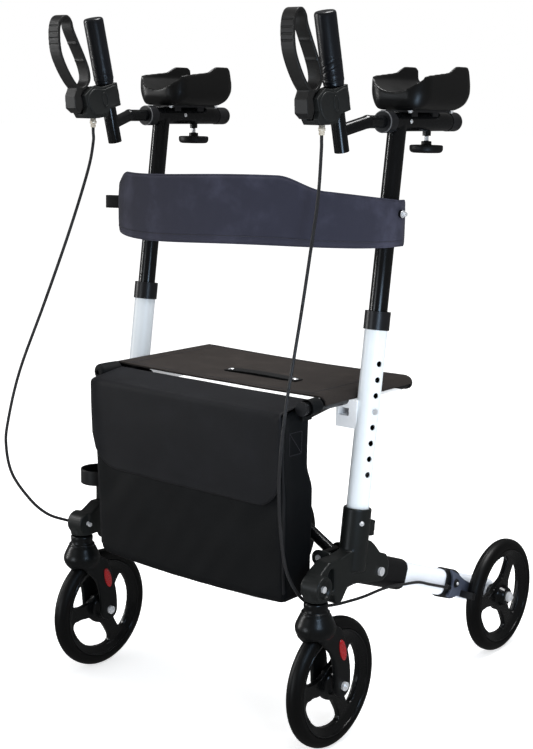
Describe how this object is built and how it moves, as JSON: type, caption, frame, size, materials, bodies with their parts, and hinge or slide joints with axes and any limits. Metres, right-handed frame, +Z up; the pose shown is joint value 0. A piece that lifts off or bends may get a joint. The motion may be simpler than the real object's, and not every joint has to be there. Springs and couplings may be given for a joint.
{
  "type": "upright walker",
  "caption": "Folding upright rollator with forearm troughs, loop brakes, seat, backrest band, storage bag and swivelling front wheels.",
  "frame": {"origin": "on the floor under the middle of the part's box, measured without the brake cables", "axes": "+Z up, -Y the walker's front where the caster wheels are, +X the side that is to the right in the picture"},
  "size_m": [0.6145, 0.7602, 1.0959],
  "materials": {
    "black_casting": "satin",
    "white_tube": "gloss",
    "black_tube": "gloss",
    "black_plastic": "satin",
    "white_plastic": "satin",
    "grey_plastic": "matte",
    "pad_foam": "satin",
    "grip_rubber": "satin",
    "rim_plastic": "gloss",
    "tyre": "satin",
    "bright_steel": "polished",
    "cable_jacket": "satin",
    "seat_cloth": "matte",
    "webbing": "matte",
    "band_cloth": "matte",
    "bag_cloth": "matte"
  },
  "bodies": {
    "frame_left": {"base_casting_left": "black_casting", "lower_post_left": "white_tube", "post_collar_left": "black_plastic", "rear_leg_left": "white_tube", "leg_fittings_left": "black_plastic", "seat_saddle_left": "white_plastic", "frame_bolts_left": "bright_steel", "brake_cable_left": "cable_jacket", "cane_cup": "black_plastic"},
    "frame_right": {"base_casting_right": "black_casting", "lower_post_right": "white_tube", "post_collar_right": "black_plastic", "rear_leg_right": "white_tube", "leg_fittings_right": "black_plastic", "seat_saddle_right": "white_plastic", "frame_bolts_right": "bright_steel", "brake_cable_right": "cable_jacket"},
    "brace_front": {"brace_front": "black_tube", "rail_caps_right": "black_plastic", "seat_sling": "seat_cloth", "pull_strap": "webbing"},
    "brace_rear": {"brace_rear": "black_tube", "rail_caps_left": "black_plastic"},
    "bag": {"storage_bag": "bag_cloth"},
    "flap": {"bag_flap": "bag_cloth"},
    "post_left": {"upper_post_left": "black_tube", "arm_tube_fittings_left": "black_plastic", "forearm_pad_left": "pad_foam", "pad_plate_left": "black_casting", "backrest_band": "band_cloth"},
    "handle_left": {"handle_post_left": "black_tube", "hand_grip_left": "grip_rubber", "brake_housing_left": "black_plastic"},
    "lever_left": {"brake_lever_left": "black_plastic"},
    "knob_left": {"clamp_knob_left": "black_plastic"},
    "button_left": {"snap_button_left": "bright_steel"},
    "brake_left": {"brake_arm_left": "grey_plastic"},
    "caster_left": {"caster_fork_left": "black_plastic", "caster_axle_left": "bright_steel"},
    "caster_wheel_left": {"caster_rim_left": "rim_plastic", "caster_tyre_left": "tyre"},
    "rear_wheel_left": {"rear_rim_left": "rim_plastic", "rear_tyre_left": "tyre"},
    "post_right": {"upper_post_right": "black_tube", "arm_tube_fittings_right": "black_plastic", "forearm_pad_right": "pad_foam", "pad_plate_right": "black_casting"},
    "handle_right": {"handle_post_right": "black_tube", "hand_grip_right": "grip_rubber", "brake_housing_right": "black_plastic"},
    "lever_right": {"brake_lever_right": "black_plastic"},
    "knob_right": {"clamp_knob_right": "black_plastic"},
    "button_right": {"snap_button_right": "bright_steel"},
    "brake_right": {"brake_arm_right": "grey_plastic"},
    "caster_right": {"caster_fork_right": "black_plastic", "caster_axle_right": "bright_steel"},
    "caster_wheel_right": {"caster_rim_right": "rim_plastic", "caster_tyre_right": "tyre"},
    "rear_wheel_right": {"rear_rim_right": "rim_plastic", "rear_tyre_right": "tyre"}
  },
  "joints": [
    {"name": "fold", "type": "hinge", "parent": "frame_left", "child": "brace_front", "pos_m": [-0.208, -0.221, 0.28458], "axis": [0, -1, 0], "range_deg": [0, 39], "deforming": ["seat_sling", "pull_strap", "backrest_band", "storage_bag", "bag_flap"]},
    {"name": "brace_cross", "type": "hinge", "parent": "brace_front", "child": "brace_rear", "pos_m": [0, -0.221, 0.40458], "axis": [0, -1, 0], "range_deg": [-78, 0]},
    {"name": "frame_right_pivot", "type": "hinge", "parent": "brace_rear", "child": "frame_right", "pos_m": [0.208, -0.221, 0.28458], "axis": [0, -1, 0], "range_deg": [0, 39]},
    {"name": "bag_hang", "type": "hinge", "parent": "brace_front", "child": "bag", "pos_m": [0.208, -0.221, 0.52458], "axis": [0, -1, 0], "range_deg": [-39, 0]},
    {"name": "flap_open", "type": "hinge", "parent": "bag", "child": "flap", "pos_m": [0, -0.249, 0.52608], "axis": [-1, 0, 0], "range_deg": [0, 90]},
    {"name": "height_left", "type": "slide", "parent": "frame_left", "child": "post_left", "axis": [0, 0.1288, 0.9917], "range_m": [-0.0968, 0.0726], "deforming": ["brake_cable_left"]},
    {"name": "height_right", "type": "slide", "parent": "frame_right", "child": "post_right", "axis": [0, 0.1288, 0.9917], "range_m": [-0.0968, 0.0726], "deforming": ["brake_cable_right"]},
    {"name": "handle_reach_left", "type": "slide", "parent": "post_left", "child": "handle_left", "axis": [0, 1, 0], "range_m": [-0.041, 0.018], "deforming": ["brake_cable_left"]},
    {"name": "handle_reach_right", "type": "slide", "parent": "post_right", "child": "handle_right", "axis": [0, 1, 0], "range_m": [-0.041, 0.018], "deforming": ["brake_cable_right"]},
    {"name": "brake_pull_left", "type": "hinge", "parent": "handle_left", "child": "lever_left", "pos_m": [-0.228, -0.29344, 0.96049], "axis": [-1, 0, 0], "range_deg": [0, 14], "stiffness_Nm_per_rad": 2, "springref_deg": -5.73},
    {"name": "brake_pull_right", "type": "hinge", "parent": "handle_right", "child": "lever_right", "pos_m": [0.228, -0.29344, 0.96049], "axis": [-1, 0, 0], "range_deg": [0, 14], "stiffness_Nm_per_rad": 2, "springref_deg": -5.73},
    {"name": "brake_shoe_left", "type": "hinge", "parent": "frame_left", "child": "brake_left", "pos_m": [-0.228, 0.13847, 0.15134], "axis": [1, 0, 0], "range_deg": [0, 5.6]},
    {"name": "brake_shoe_right", "type": "hinge", "parent": "frame_right", "child": "brake_right", "pos_m": [0.228, 0.13847, 0.15134], "axis": [1, 0, 0], "range_deg": [0, 5.6]},
    {"name": "knob_turn_left", "type": "hinge", "parent": "post_left", "child": "knob_left", "pos_m": [-0.24, -0.02406, 0.90096], "axis": [0, 0, 1], "continuous": true},
    {"name": "knob_turn_right", "type": "hinge", "parent": "post_right", "child": "knob_right", "pos_m": [0.24, -0.02406, 0.90096], "axis": [0, 0, 1], "continuous": true},
    {"name": "button_press_left", "type": "slide", "parent": "frame_left", "child": "button_left", "axis": [0.9397, 0.3392, -0.0441], "range_m": [0, 0.003], "stiffness_N_per_m": 900, "springref_m": -0.002},
    {"name": "button_press_right", "type": "slide", "parent": "frame_right", "child": "button_right", "axis": [-0.9397, 0.3392, -0.0441], "range_m": [0, 0.003], "stiffness_N_per_m": 900, "springref_m": -0.002},
    {"name": "caster_swivel_left", "type": "hinge", "parent": "frame_left", "child": "caster_left", "pos_m": [-0.247, -0.293, 0.24228], "axis": [0, 0, 1], "continuous": true},
    {"name": "caster_swivel_right", "type": "hinge", "parent": "frame_right", "child": "caster_right", "pos_m": [0.247, -0.293, 0.24228], "axis": [0, 0, 1], "continuous": true},
    {"name": "caster_spin_left", "type": "hinge", "parent": "caster_left", "child": "caster_wheel_left", "pos_m": [-0.247, -0.251, 0.1015], "axis": [1, 0, 0], "continuous": true},
    {"name": "caster_spin_right", "type": "hinge", "parent": "caster_right", "child": "caster_wheel_right", "pos_m": [0.247, -0.251, 0.1015], "axis": [1, 0, 0], "continuous": true},
    {"name": "rear_spin_left", "type": "hinge", "parent": "frame_left", "child": "rear_wheel_left", "pos_m": [-0.247, 0.264, 0.1015], "axis": [1, 0, 0], "continuous": true},
    {"name": "rear_spin_right", "type": "hinge", "parent": "frame_right", "child": "rear_wheel_right", "pos_m": [0.247, 0.264, 0.1015], "axis": [1, 0, 0], "continuous": true}
  ],
  "couplings": [
    {"joint": "brace_cross", "follows": "fold", "ratio": -2},
    {"joint": "frame_right_pivot", "follows": "fold", "ratio": 1},
    {"joint": "bag_hang", "follows": "fold", "ratio": -1},
    {"joint": "height_right", "follows": "height_left", "ratio": 1},
    {"joint": "brake_shoe_left", "follows": "brake_pull_left", "ratio": 0.4},
    {"joint": "brake_shoe_right", "follows": "brake_pull_right", "ratio": 0.4}
  ]
}
